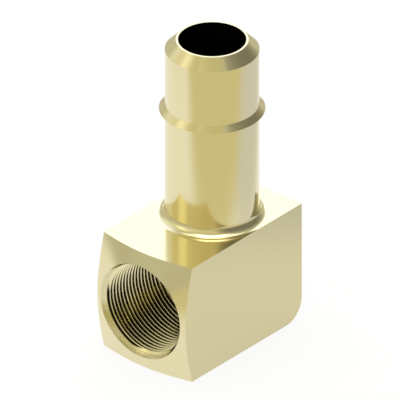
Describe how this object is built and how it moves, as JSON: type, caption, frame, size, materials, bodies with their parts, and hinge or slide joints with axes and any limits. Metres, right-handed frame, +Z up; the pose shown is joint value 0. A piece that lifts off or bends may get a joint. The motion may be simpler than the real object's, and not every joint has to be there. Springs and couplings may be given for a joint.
{
  "type": "elbow hose barb",
  "caption": "Square-bodied brass elbow with a threaded female pipe port in front and an upright hose tail with one sharp barb.",
  "frame": {"origin": "where the axis of the hose tail meets the flat bottom of the body", "axes": "+Z up along the hose tail, -Y out of the pipe port, X across the body"},
  "size_m": [0.0548, 0.0871, 0.1574],
  "materials": {
    "brass": "polished"
  },
  "bodies": {
    "root": {"elbow_body": "brass"}
  },
  "joints": []
}
